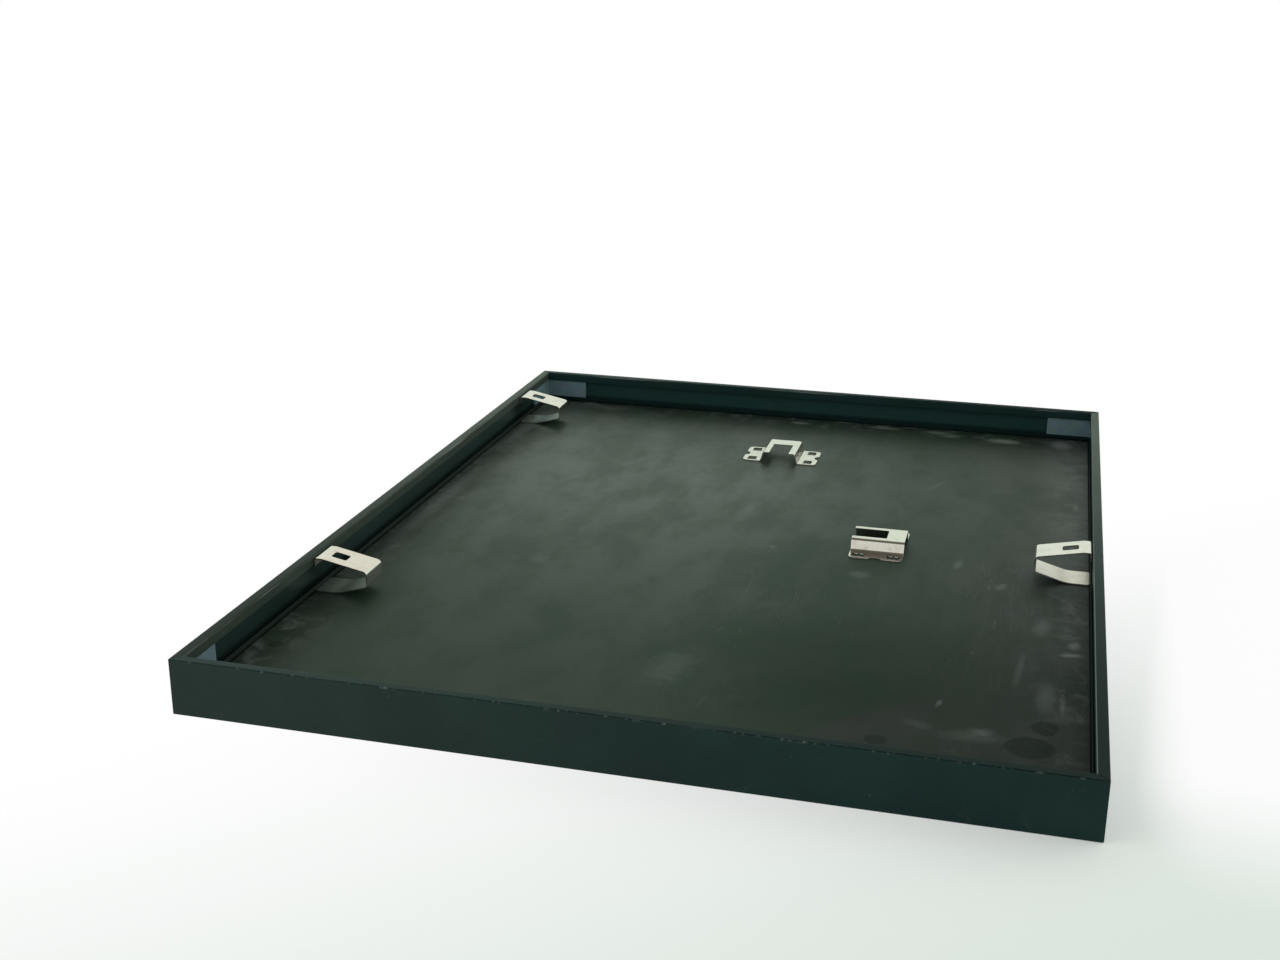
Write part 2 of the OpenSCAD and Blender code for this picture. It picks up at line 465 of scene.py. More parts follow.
class Graph:
    """Shader graph of a material or of the world."""

    def __init__(self, tree: bpy.types.NodeTree, ending: str = "ShaderNodeOutputMaterial") -> None:
        """Empties a node tree.

        Args:
            tree: The node tree.
            ending: Type of the node that the graph ends in.
        """
        self.tree = tree
        self.ending = ending
        tree.nodes.clear()

    @staticmethod
    def _socket(sockets: Any, key: int | str) -> bpy.types.NodeSocket:
        """Finds a socket.

        Args:
            sockets: The node's input or output sockets.
            key: Its number, identifier or name.

        Returns:
            The socket.
        """
        if isinstance(key, int):
            return sockets[key]
        return next((s for s in sockets if s.identifier == key), None) or sockets[key]

    def node(
        self, kind: str, sockets: Mapping[int | str, Any] | None = None, out: int | str = 0, **settings: Any
    ) -> Wire:
        """Adds a node.

        Args:
            kind: Blender's name of the node's type, less ShaderNode at its start.
            sockets: Values or links of its input sockets, by number, identifier or name.
            out: The output to return, by number, identifier or name.
            **settings: The node's settings, which are set first; stops are those of a colour ramp.

        Returns:
            The output.
        """
        made = self.tree.nodes.new(f"ShaderNode{kind}")
        stops: Stops = settings.pop("stops", ())
        for name, value in settings.items():
            setattr(made, name, value)
        for i, (position, colour) in enumerate(stops):
            ramp = made.color_ramp.elements
            element = ramp[i] if i < len(ramp) else ramp.new(1.0)
            element.position, element.color = position, (*colour, 1.0)
        for key, value in (sockets or {}).items():
            socket = self._socket(made.inputs, key)
            if isinstance(value, Wire):
                self.tree.links.new(value.socket, socket)
            elif isinstance(value, tuple) and socket.type == "RGBA":
                socket.default_value = (*value, 1.0)
            else:
                socket.default_value = value
        return Wire(self, self._socket(made.outputs, out))

    def axes(self, vector: Wire) -> tuple[Wire, Wire, Wire]:
        """The three coordinates of a vector."""
        x = self.node("SeparateXYZ", {0: vector})
        return x, x.part("Y"), x.part("Z")

    def scaled(self, vector: Wire, factors: Triple) -> Wire:
        """Vector with its axes scaled."""
        return self.node("VectorMath", {0: vector, 1: factors}, operation="MULTIPLY")

    def spot(self) -> Spot:
        """Place on the piece."""
        place = self.scaled(self.node("TexCoord", out="Object"), (1.0 / MM,) * 3)
        return Spot(place, *self.axes(place))

    def rays(self) -> tuple[Wire, Wire]:
        """Masks of the rays that come from the camera, and of those that a piece mirrors or lets through."""
        camera = self.node("LightPath", out="Is Camera Ray")
        return camera, camera.part("Is Glossy Ray").larger(camera.part("Is Transmission Ray"))

    def noise(self, place: Wire, clouds: Clouds) -> Wire:
        """Cloudy noise.

        Args:
            place: Where it is read.
            clouds: Its clouds.

        Returns:
            The noise, from 0 to 1.
        """
        size, detail, rough, warp, stretch = clouds
        sockets = {
            "Vector": self.scaled(place, stretch),
            "Scale": 1.0 / size,
            "Detail": detail,
            "Roughness": rough,
            "Distortion": warp,
        }
        return self.node("TexNoise", sockets, noise_dimensions="3D")

    def specks(self, place: Wire, specks: Specks) -> Wire:
        """Mask of scattered round specks.

        Args:
            place: Where it is read.
            specks: The specks.

        Returns:
            The mask.
        """
        cell, radius, share = specks
        near = self.node("TexVoronoi", {"Vector": place, "Scale": 1.0 / cell}, "Distance", feature="F1")
        pick = self.node("SeparateColor", {0: near.part("Color")}, "Red")
        return near.rising(radius / cell, 0.4 * radius / cell) * pick.rising(share + 0.01, share - 0.01)

    def mix(self, factor: Value, first: Tone, second: Tone, blend: str = "MIX") -> Wire:
        """Mix of two colours."""
        sockets = {"Factor_Float": factor, "A_Color": first, "B_Color": second}
        return self.node("Mix", sockets, "Result_Color", data_type="RGBA", blend_type=blend)

    def mix_shaders(self, factor: Value, first: Wire, second: Wire) -> Wire:
        """Mix of two shaders."""
        return self.node("MixShader", {0: factor, 1: first, 2: second})

    def bump(self, height: Wire, depth: float, strength: float) -> Wire:
        """Normal of a surface with fine relief."""
        return self.node("Bump", {"Strength": strength, "Distance": depth * MM, "Height": height}, "Normal")

    def coat(self, **sockets: Any) -> Wire:
        """Principled surface."""
        return self.node("BsdfPrincipled", {name.replace("_", " "): value for name, value in sockets.items()})

    def glow(self, kind: str, colour: Tone, strength: Value = 1.0) -> Wire:
        """Shader that only shines."""
        return self.node(kind, {"Color": colour, "Strength": strength})

    def surface(self, shader: Wire) -> None:
        """Ends the graph in its output."""
        ending = self.tree.nodes.new(self.ending)
        self.tree.links.new(shader.socket, ending.inputs["Surface"])


def shade(colour: Colour, factor: float) -> Colour:
    """Colour made darker or paler by a factor."""
    return tuple(factor * part for part in colour)


# ---------------------------------------------------------------- finishes


@dataclass(frozen=True)
class Finish:
    """Look of a piece, as a material.

    Args:
        name: Name of the material.
    """

    name: str

    def shader(self, graph: Graph, spot: Spot) -> Wire:
        """Shader of the finish."""
        raise NotImplementedError

    def material(self) -> bpy.types.Material:
        """Makes the material.

        Returns:
            The material, with the finish as its surface.
        """
        made = bpy.data.materials.new(self.name)
        made.use_nodes = True
        graph = Graph(made.node_tree)
        graph.surface(self.shader(graph, graph.spot()))
        return made


class Grain(Enum):
    """Direction in which a metal's drawing or rolling lines run."""

    ALONG_X = (0.02, 1.0, 1.0)
    ALONG_Y = (1.0, 0.02, 1.0)
    ALONG_Z = (1.0, 1.0, 0.02)


@dataclass(frozen=True)
class AnodisedBlack(Finish):
    """Satin black of the drawn rails, with faint drawing lines, dust, rubbed patches and worn edges, and with painted
    light and matt black painted shade.

    Args:
        grain: Direction of the drawing lines, and of the rails.
        half: Half of the frame's size across the rails.
        lip, depth: Width of the rear lip, and depth of the rails.
        body, worn, bare: Colours of the clean surface, of rubbed places and of the worn edges and their painted
            highlight.
        fleck, painted_light: Colours of the specks of dust, and of the painted light that makes the frame paler on its
            left and the lip tops lighter towards the back.
        roughness: Roughness of the clean surface.
        lines, clouds, rubs: Drawing lines, wide clouds of tone and sheen, and rubbed patches.
        frays, chips, dust: Breaks in the worn lines, chips of the outer edge, and specks of dust.
        skin: Distances from the outer face between which the inside of the rail starts.
        inner_line, outer_line: Distances from the lip's two edges between which their worn lines, and the inner
            painted highlight, end.
        low: Heights between which painted shade darkens the channel.
        rib_foot_shade: Heights between which painted shade darkens the rib's foot, from below and from above.
    """

    grain: Grain
    half: float
    lip: float
    depth: float
    body: Colour = (0.0060, 0.0195, 0.0180)
    worn: Colour = (0.055, 0.070, 0.062)
    bare: Colour = (0.26, 0.29, 0.26)
    fleck: Colour = (0.16, 0.17, 0.15)
    painted_light: Colour = (0.0350, 0.0450, 0.0340)
    roughness: float = 0.42
    lines: Clouds = Clouds(0.22, 2.0)
    clouds: Clouds = Clouds(38.0, 4.0, 0.6)
    rubs: Clouds = Clouds(7.0, 5.0, 0.7)
    frays: Clouds = Clouds(1.1, 5.0, 0.75)
    chips: Clouds = Clouds(3.2, 5.0, 0.75)
    dust: Specks = Specks(5.0, 0.24, 0.16)
    skin: Step = (0.5, 1.0)
    inner_line: Step = (0.34, 0.06)
    outer_line: Step = (0.50, 0.10)
    low: Step = (16.0, 8.5)
    rib_foot_shade: tuple[Step, Step] = ((5.0, 5.6), (9.0, 7.6))

    @property
    def crosswise(self) -> bool:
        """Whether the rails run along x."""
        return self.grain is Grain.ALONG_X

    def inwards(self, spot: Spot) -> Wire:
        """Distance from the rail's outer face."""
        return self.half - abs(spot.y if self.crosswise else spot.x)

    def edge_wear_and_glint(self, graph: Graph, spot: Spot) -> Wire:
        """Mask of the worn lines along the rear lip's two edges, and of a painted highlight along the inner edge of
        the bottom and right rails.

        Args:
            graph: The material's graph.
            spot: Place on the rail.

        Returns:
            The mask.
        """
        inwards = self.inwards(spot)
        ragged = graph.noise(spot.whole, self.frays._replace(stretch=self.grain.value)).rising(0.47, 0.66)
        chipped = graph.noise(spot.whole, self.chips).rising(0.55, 0.64)
        # The steady part is a painted highlight along the inner arris: faint on the bottom rail, stronger on the right
        # rail towards the front.
        if self.crosswise:
            arris_glint = spot.y.rising(0.0, -1.0) * 0.12
        else:
            arris_glint = spot.x.rising(0.0, 1.0) * (spot.y.rising(20.0, -90.0) * 0.35 + 0.35)
        # Inner line: ragged wear together with the painted highlight.
        inner = abs(inwards - (self.lip - 0.15)).rising(*self.inner_line) * (ragged * 0.6).larger(arris_glint)
        outer = inwards.rising(*self.outer_line) * (ragged * 0.25).larger(chipped * 0.35)
        return inner.larger(outer) * spot.z.rising(self.depth - 0.9, self.depth - 0.3)

    def channel(self, spot: Spot) -> Wire:
        """Mask of the channel's inside, where the painted light of the left is weaker and painted shade darkens it low
        down; on the top and bottom rails it also gets painted light.

        Args:
            spot: Place on the rail.

        Returns:
            The mask.
        """
        inwards = self.inwards(spot)
        sides = inwards.rising(*self.skin) * inwards.rising(self.lip - 0.15, self.lip - 0.5)
        return sides * spot.z.rising(6.2, 6.4) * spot.z.rising(self.depth - 1.1, self.depth - 1.3)

    def shader(self, graph: Graph, spot: Spot) -> Wire:
        """Shader of the finish: satin, with painted light, and matt black painted shade where little light comes.

        Args:
            graph: The material's graph.
            spot: Place on the rail.

        Returns:
            The shader.
        """
        cloud = graph.noise(spot.whole, self.clouds)
        rub = graph.noise(spot.whole, self.rubs).rising(0.60, 0.80) * 0.30
        wear_and_glint = self.edge_wear_and_glint(graph, spot)
        dust = graph.specks(spot.whole, self.dust)
        channel = self.channel(spot)
        top = spot.z.rising(self.depth - 0.6, self.depth - 0.2)
        # Painted light: the rails get paler towards the left, where more light falls, broken up by the clouds.
        left = spot.x.rising(130.0, -150.0) * (0.50 + cloud * 0.45)
        if self.crosswise:
            left = left * spot.y.rising(190.0, -190.0) * spot.z.rising(20.8, 20.3) * 0.45
            # Painted shade as matt black on the lip tops, stronger towards the right; painted light on the channel's
            # inside.
            painted_shade = top * spot.x.rising(-120.0, 150.0) * 0.45
            lit, glint = channel, shade(self.body, 1.7)
        else:
            # Painted shade as matt black on the lip tops towards the front; a painted highlight on them towards the
            # back.
            painted_shade = top * spot.y.rising(60.0, -190.0) * (spot.x.rising(-1.0, 1.0) * 0.12 + 0.33)
            lit, glint = top * spot.y.rising(-40.0, 200.0) * 0.8, shade(self.painted_light, 1.7)
        tone: Tone = self.body
        for factor, colour in (
            (cloud.rising(0.35, 0.7) * 0.6, shade(self.body, 1.5)),
            # painted light on the left, weaker in the channel
            (left * (1.0 - channel * 0.75), self.painted_light),
            # painted shade: black low in the channel
            (channel * spot.z.rising(*self.low) * 0.25, (0.0, 0.0, 0.0)),
            # painted light and highlight from above
            (lit, glint),
            (rub, self.worn),
            (wear_and_glint * 0.9, self.bare),
            (dust * 0.5, self.fleck),
        ):
            tone = graph.mix(factor, tone, colour)
        # Painted shade as matt black at the rib's foot by the board, added to that of the lip tops, but not on worn or
        # highlighted edges.
        below, above = self.rib_foot_shade
        foot = spot.z.rising(*below) * spot.z.rising(*above) * self.inwards(spot).rising(*self.skin)
        painted_shade = painted_shade.larger(foot * 0.55) * (1.0 - wear_and_glint)
        lines = graph.noise(spot.whole, self.lines._replace(stretch=self.grain.value))
        satin = graph.coat(
            Base_Color=tone,
            Roughness=self.roughness + (cloud - 0.5) * 0.16 + rub * 0.25 + dust * 0.2,
            Specular_IOR_Level=0.10,
            Normal=graph.bump(lines, 0.006, 0.5),
        )
        # Matt black painted shade, with a little dust.
        shade_tone = graph.mix(dust * 0.2, shade(self.body, 0.2), self.worn)
        matt = graph.coat(Base_Color=shade_tone, Roughness=1.0, Specular_IOR_Level=0.0)
        return graph.mix_shaders(painted_shade, satin, matt)


class MarkKind(Enum):
    """Kind of a mark on the board, with the raggedness of its edge and the reach at which it is full.

    PALE is a dry scuff, DARK a blot such as a finger leaves, DULL a wide patch with less sheen, and BROWN a
    browner one.
    """

    PALE = (1.5, 0.10)
    DARK = (0.5, 0.75)
    DULL = (0.7, 0.25)
    BROWN = (0.3, 0.80)


class Mark(NamedTuple):
    """Mark on the board, an ellipse with a ragged edge.

    Args:
        x: Place of its middle, in millimetres.
        y: The same, along the frame.
        long: Half of its length.
        wide: Half of its width.
        turn_deg: Angle of its length from the x axis, in degrees.
        strength: How strong it is, from 0 to 1.
    """

    x: float
    y: float
    long: float
    wide: float
    turn_deg: float
    strength: float


BOARD_MARKS: Mapping[MarkKind, tuple[Mark, ...]] = {
    MarkKind.PALE: (
        Mark(-2, 193, 7, 3.5, 0, 0.45),
        Mark(44, 196, 12, 3, 0, 0.45),
        Mark(80, 191, 8, 4, 10, 0.30),
        Mark(108, 189, 12, 6, 0, 0.55),
        Mark(138, 190, 12, 8, 90, 0.50),
        Mark(72, 195, 9, 5, 0, 0.35),
        Mark(-113, 193, 16, 7, 0, 0.22),
        Mark(-30, 83, 20, 9, 80, 0.14),
        Mark(-2, 42, 22, 5, 82, 0.20),
        Mark(58.6, -24, 6.5, 6.5, 0, 0.26),
        Mark(80, 104, 14, 2, 65, 0.14),
        Mark(17.4, -1, 4, 2, 90, 0.30),
        Mark(98, 0, 8, 2.5, 80, 0.28),
        Mark(117, -21, 7, 2.5, 70, 0.28),
        Mark(-76, -42, 8, 6, 90, 0.16),
        Mark(4, -134, 26, 12, 80, 0.16),
        Mark(146, 89, 9, 2.5, 90, 0.40),
        Mark(134, -60, 14, 5, 85, 0.28),
        Mark(146, -74, 5, 3, 80, 0.60),
        Mark(145, -83, 6, 2.2, 10, 0.95),
        Mark(137, -122, 18, 5, 88, 0.34),
        Mark(142.5, -128, 14, 1.6, 90, 0.40),
        Mark(127, -100, 20, 2, 86, 0.20),
        Mark(114, -158, 16, 6, 4, 0.22),
        Mark(95, -154, 9, 4, -20, 0.16),
        Mark(117, -154, 6, 4, 0, 0.38),
        Mark(101, -136, 4, 1.2, 80, 0.45),
        Mark(-145, 20, 70, 6, 90, 0.34),
        Mark(-146, 140, 40, 5, 90, 0.30),
    ),
    MarkKind.DARK: (
        Mark(132.5, -161, 9.5, 9, 0, 0.85),
        Mark(137, -145.5, 5.5, 6.5, 0, 0.80),
        Mark(83, -169, 4.5, 4, 0, 0.75),
        Mark(-143, -154, 3, 3, 0, 0.65),
    ),
    MarkKind.DULL: (
        Mark(56, -150, 62, 34, 28, 0.36),
        Mark(66, -112, 90, 62, 10, 0.56),
        Mark(-143, -130, 50, 14, 90, 0.34),
        Mark(-140, 118, 48, 14, 90, 0.34),
        Mark(38, -30, 60, 34, 80, 0.16),
    ),
    MarkKind.BROWN: (Mark(112, -150, 75, 24, 35, 0.75),),
}


@dataclass(frozen=True)
class Hardboard(Finish):
    """Dark smooth hardboard with a dull sheen, mottled, dusty towards its edges and marked by handling.

    Args:
        half_width: Half of the board's width, in millimetres.
        half_length: Half of its length.
        margin: Width of the dusty margin.
        body: Colour of the clean surface.
        warm: Colour of its browner patches.
        pale: Colour of dust and scuffs.
        fleck: Colour of the specks.
        clouds: Wide clouds of tone.
        mottles: Blotches of tone and sheen.
        fibres: Fine relief.
        frays: Ragged edges of the marks.
        hairs: Fine curved scratches, where the noise passes its middle.
        streaks: Streaks along the frame in the sheen.
        specks: Pale specks.
    """

    half_width: float = 151.65
    half_length: float = 201.65
    margin: float = 26.0
    body: Colour = (0.0055, 0.0205, 0.0095)
    warm: Colour = (0.0185, 0.0190, 0.0180)
    pale: Colour = (0.140, 0.165, 0.148)
    fleck: Colour = (0.30, 0.31, 0.27)
    clouds: Clouds = Clouds(75.0, 5.0, 0.6, 0.6)
    mottles: Clouds = Clouds(20.0, 5.0, 0.6, stretch=(1.0, 0.55, 1.0))
    fibres: Clouds = Clouds(0.7, 3.0, 0.7)
    frays: Clouds = Clouds(10.0, 5.0, 0.7, 0.8)
    hairs: Clouds = Clouds(3.0, 2.0, 0.5, 1.5, (0.6, 0.05, 1.0))
    streaks: Clouds = Clouds(7.0, 4.0, 0.6, 0.4, (1.0, 0.16, 1.0))
    specks: Specks = Specks(11.0, 0.30, 0.30)

    def marks(self, kind: MarkKind, graph: Graph, spot: Spot, ragged: Wire) -> Wire:
        """Mask of the marks of one kind.

        Args:
            kind: The kind.
            graph: The material's graph.
            spot: Place on the board.
            ragged: Noise that breaks up the edges.

        Returns:
            The mask.
        """
        spread, full = kind.value
        total: Value = 0.0
        for mark in BOARD_MARKS[kind]:
            centre = (mark.x, mark.y, 0.0)
            turn = {"Vector": spot.whole, "Center": centre, "Angle": -math.radians(mark.turn_deg)}
            turned = graph.node("VectorRotate", turn, rotation_type="Z_AXIS")
            offset = graph.node("VectorMath", {0: turned, 1: centre}, operation="SUBTRACT")
            ellipse = graph.scaled(offset, (1.0 / mark.long, 1.0 / mark.wide, 0.0))
            reach = graph.node("VectorMath", {0: ellipse}, "Value", operation="LENGTH")
            total = (reach + (ragged - 0.5) * spread).rising(1.0, full) * mark.strength + total
        return total.smaller(1.0)

    def shader(self, graph: Graph, spot: Spot) -> Wire:
        """Shader of the finish: a dull coat over the board, and matt blots.

        Args:
            graph: The material's graph.
            spot: Place on the board.

        Returns:
            The shader.
        """
        cloud = graph.noise(spot.whole, self.clouds)
        mottle = graph.noise(spot.whole, self.mottles)
        fibre = graph.noise(spot.whole, self.fibres)
        ragged = graph.noise(spot.whole, self.frays)
        pale, dark, dull, brown = (self.marks(kind, graph, spot, ragged) for kind in MarkKind)
        beside = (abs(spot.x) - (self.half_width - self.margin)) / self.margin
        beyond = (abs(spot.y) - (self.half_length - self.margin)) / self.margin
        edge = beside.larger(beyond).rising(0.0, 1.0)
        hair = abs(graph.noise(spot.whole, self.hairs) - 0.5).rising(0.006, 0.0) * cloud.rising(0.48, 0.66) * 0.35
        pale = (edge * ragged.rising(0.46, 0.70) * 0.48 + hair + pale * 1.3).smaller(1.0)
        right = (spot.x + (cloud - 0.5) * 90.0).rising(60.0, 190.0)
        tone: Tone = self.body
        for factor, colour in (
            (right.larger(edge * 0.4).larger(brown), self.warm),
            (mottle.rising(0.35, 0.8) * 0.4, shade(self.body, 2.0)),
            (pale * 0.95, self.pale),
            (graph.specks(spot.whole, self.specks) * 0.7, self.fleck),
        ):
            tone = graph.mix(factor, tone, colour)
        worn = spot.x.rising(-35.0, 92.0) * 0.58 - spot.x.rising(118.0, 150.0) * 0.34
        front = spot.y.rising(125.0, -170.0) * 0.70
        streak = graph.noise(spot.whole, self.streaks).rising(0.42, 0.66)
        streak = streak * spot.x.rising(20.0, 130.0) * spot.y.rising(60.0, -60.0)
        sheen = 1.0 - dull
        for loss in (worn, front, pale * 0.3, streak * 0.35, mottle.rising(0.36, 0.66) * 0.36, edge * cloud * 0.2):
            sheen = sheen * (1.0 - loss)
        normal = graph.bump(fibre * 0.7 + mottle * 0.3, 0.02, 0.45)
        smooth = graph.coat(
            Base_Color=tone,
            Roughness=0.62 + mottle * 0.12,
            Specular_IOR_Level=0.22,
            Coat_Weight=sheen,
            Coat_Roughness=0.46,
            Coat_IOR=1.60,
            Normal=normal,
        )
        blotted = graph.mix(fibre * 0.4 + 0.4, self.body, self.warm)
        blot = graph.coat(Base_Color=blotted, Roughness=1.0, Specular_IOR_Level=0.0, Normal=normal)
        dim = spot.x.rising(10.0, 100.0) * spot.y.rising(-40.0, -140.0) * 0.30
        return graph.mix_shaders((dark * 0.75).larger(dim), smooth, blot)


@dataclass(frozen=True)
class RolledSteel(Finish):
    """Bright steel strip with rolling lines, dull patches and small stains, and painted reflection and shade low down
    on the left.

    Args:
        grain: Direction of the rolling lines.
        body: Colour of the clean metal.
        low: Painted reflection and shade: its colour low down on the left, where it mirrors the dark board.
        stain: Colour of its stains.
        stained: Share of the stain in the worst places.
        roughness: Roughness of the clean metal.
        dulled: Roughness that is added low down, near the board.
        lines: Rolling lines.
        clouds: Dull patches.
        spots: Small stains.
        low_painted_shade: Heights between which the metal gets to its low colour of painted reflection and shade, and
            its added roughness.
    """

    grain: Grain
    body: Colour = (0.82, 0.695, 0.665)
    low: Colour = (0.56, 0.62, 0.56)
    stain: Colour = (0.38, 0.34, 0.27)
    stained: float = 0.30
    roughness: float = 0.15
    dulled: float = 0.16
    lines: Clouds = Clouds(0.14, 3.0, 0.65)
    clouds: Clouds = Clouds(5.0, 4.0, 0.6)
    spots: Clouds = Clouds(1.6, 4.0, 0.7)
    low_painted_shade: Step = (14.5, 8.5)

    def shader(self, graph: Graph, spot: Spot) -> Wire:
        """Shader of the finish.

        Args:
            graph: The material's graph.
            spot: Place on the strip.

        Returns:
            The shader.
        """
        lines = graph.noise(spot.whole, self.lines._replace(stretch=self.grain.value))
        cloud = graph.noise(spot.whole, self.clouds)
        spots = graph.noise(spot.whole, self.spots).rising(0.60, 0.78)
        low_painted_shade = spot.z.rising(*self.low_painted_shade)
        tone: Tone = self.body
        for factor, colour in (
            # Painted reflection and shade: low down on the left clips the metal takes the dark board's colour.
            (low_painted_shade * spot.x.rising(60.0, -60.0), self.low),
            (cloud.rising(0.45, 0.8) * self.stained, self.stain),
            (spots * self.stained * 0.8, self.stain),
            (lines.rising(0.45, 0.85) * 0.08, shade(self.body, 0.55)),
        ):
            tone = graph.mix(factor, tone, colour)
        return graph.coat(
            Base_Color=tone,
            Metallic=1.0,
            Roughness=self.roughness + (lines - 0.5) * 0.03 + cloud * 0.06 + spots * 0.10 + low_painted_shade * self.dulled,
            Normal=graph.bump(lines, 0.0004, 0.2),
        )


@dataclass(frozen=True)
class ZincGrey(Finish):
    """Blue-grey zinc of the corner brackets, with a faint spangle.

    Args:
        body: Colour of the metal.
        clouds: Dull patches.
        grit: Fine relief.
        spangle: Spangle cells in a millimetre.
    """

    body: Colour = (0.120, 0.195, 0.215)
    clouds: Clouds = Clouds(6.0, 4.0, 0.6)
    grit: Clouds = Clouds(0.8)
    spangle: float = 0.45

    def shader(self, graph: Graph, spot: Spot) -> Wire:
        """Shader of the finish.

        Args:
            graph: The material's graph.
            spot: Place on the bracket.

        Returns:
            The shader.
        """
        cells = graph.node("TexVoronoi", {"Vector": spot.whole, "Scale": self.spangle}, "Color", feature="F1")
        cloud = graph.noise(spot.whole, self.clouds)
        tone = graph.mix(cloud * 0.5, self.body, shade(self.body, 0.6))
        return graph.coat(
            Base_Color=graph.mix(0.12, tone, cells, "OVERLAY"),
            Metallic=0.15,
            Roughness=0.48 + (cloud - 0.5) * 0.2,
            Normal=graph.bump(graph.noise(spot.whole, self.grit), 0.01, 0.4),
        )


@dataclass(frozen=True)
class ClearGlazing(Finish):
    """Clear sheet with a little dust and faint smears.

    Args:
        body: Colour of the sheet.
        fleck: Colour of the dust.
        smears: Smears.
        dust: Specks of dust.
        index: Its refractive index.
    """

    body: Colour = (0.93, 0.97, 0.95)
    fleck: Colour = (0.75, 0.76, 0.74)
    smears: Clouds = Clouds(40.0, 4.0, 0.6, 1.0)
    dust: Specks = Specks(14.0, 0.25, 0.3)
    index: float = 1.49

    def shader(self, graph: Graph, spot: Spot) -> Wire:
        """Shader of the finish.

        Args:
            graph: The material's graph.
            spot: Place on the sheet.

        Returns:
            The shader.
        """
        smear = graph.noise(spot.whole, self.smears).rising(0.5, 0.75)
        dust = graph.specks(spot.whole, self.dust)
        return graph.coat(
            Base_Color=graph.mix(dust * 0.5, self.body, self.fleck),
            Roughness=0.02 + smear * 0.05 + dust * 0.5,
            IOR=self.index,
            Transmission_Weight=1.0,
        )


@dataclass(frozen=True)
class InsertPaper(Finish):
    """Plain uncoated paper of the bare picture sheet.

    Args:
        body: Colour of the paper.
        pulp: Fine relief of the paper.
        clouds: Faint wide clouds of tone.
    """

    body: Colour = (0.80, 0.79, 0.74)
    pulp: Clouds = Clouds(1.2, 4.0, 0.65)
    clouds: Clouds = Clouds(30.0)

    def shader(self, graph: Graph, spot: Spot) -> Wire:
        """Shader of the finish.

        Args:
            graph: The material's graph.
            spot: Place on the sheet.

        Returns:
            The shader.
        """
        pulp = graph.noise(spot.whole, self.pulp)
        factor = pulp * 0.18 + graph.noise(spot.whole, self.clouds) * 0.12
        tone = graph.mix(factor, self.body, shade(self.body, 0.86))
        return graph.coat(Base_Color=tone, Roughness=0.85, Normal=graph.bump(pulp, 0.02, 0.4))


# ---------------------------------------------------------------- sub-assemblies


class SubAssembly:
    """Pieces that are built and dressed together. Its subclasses hold the sizes."""

    def add(
        self, name: str, mesh: bmesh.types.BMesh, material: bpy.types.Material, node: str, body: str, slot: str
    ) -> None:
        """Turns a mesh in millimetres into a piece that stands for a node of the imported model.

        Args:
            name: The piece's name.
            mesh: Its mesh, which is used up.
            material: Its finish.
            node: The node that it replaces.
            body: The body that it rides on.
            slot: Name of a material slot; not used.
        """
        bmesh.ops.scale(mesh, vec=(MM, MM, MM), verts=mesh.verts[:])
        for face in mesh.faces:
            face.smooth = True
        data = bpy.data.meshes.new(name)
        mesh.to_mesh(data)
        mesh.free()
        data.materials.append(material)
        piece = bpy.data.objects.new(name, data)
        bpy.context.scene.collection.objects.link(piece)
        flats = piece.modifiers.new("flat_faces", "WEIGHTED_NORMAL")
        flats.keep_sharp = True
        flats.weight = 100
        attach(piece, body)
        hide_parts(node)
        log.info("%s: %d faces, rides on %s, stands for %s", name, len(data.polygons), body, node)

    def build(self) -> None:
        """Builds and dresses the pieces."""
        raise NotImplementedError


class Side(Enum):
    """Side of the frame, with the turn in degrees that takes the bottom rail there and the way its lines run."""

    BOTTOM = (0, Grain.ALONG_X)
    RIGHT = (90, Grain.ALONG_Y)
    TOP = (180, Grain.ALONG_X)
    LEFT = (270, Grain.ALONG_Y)


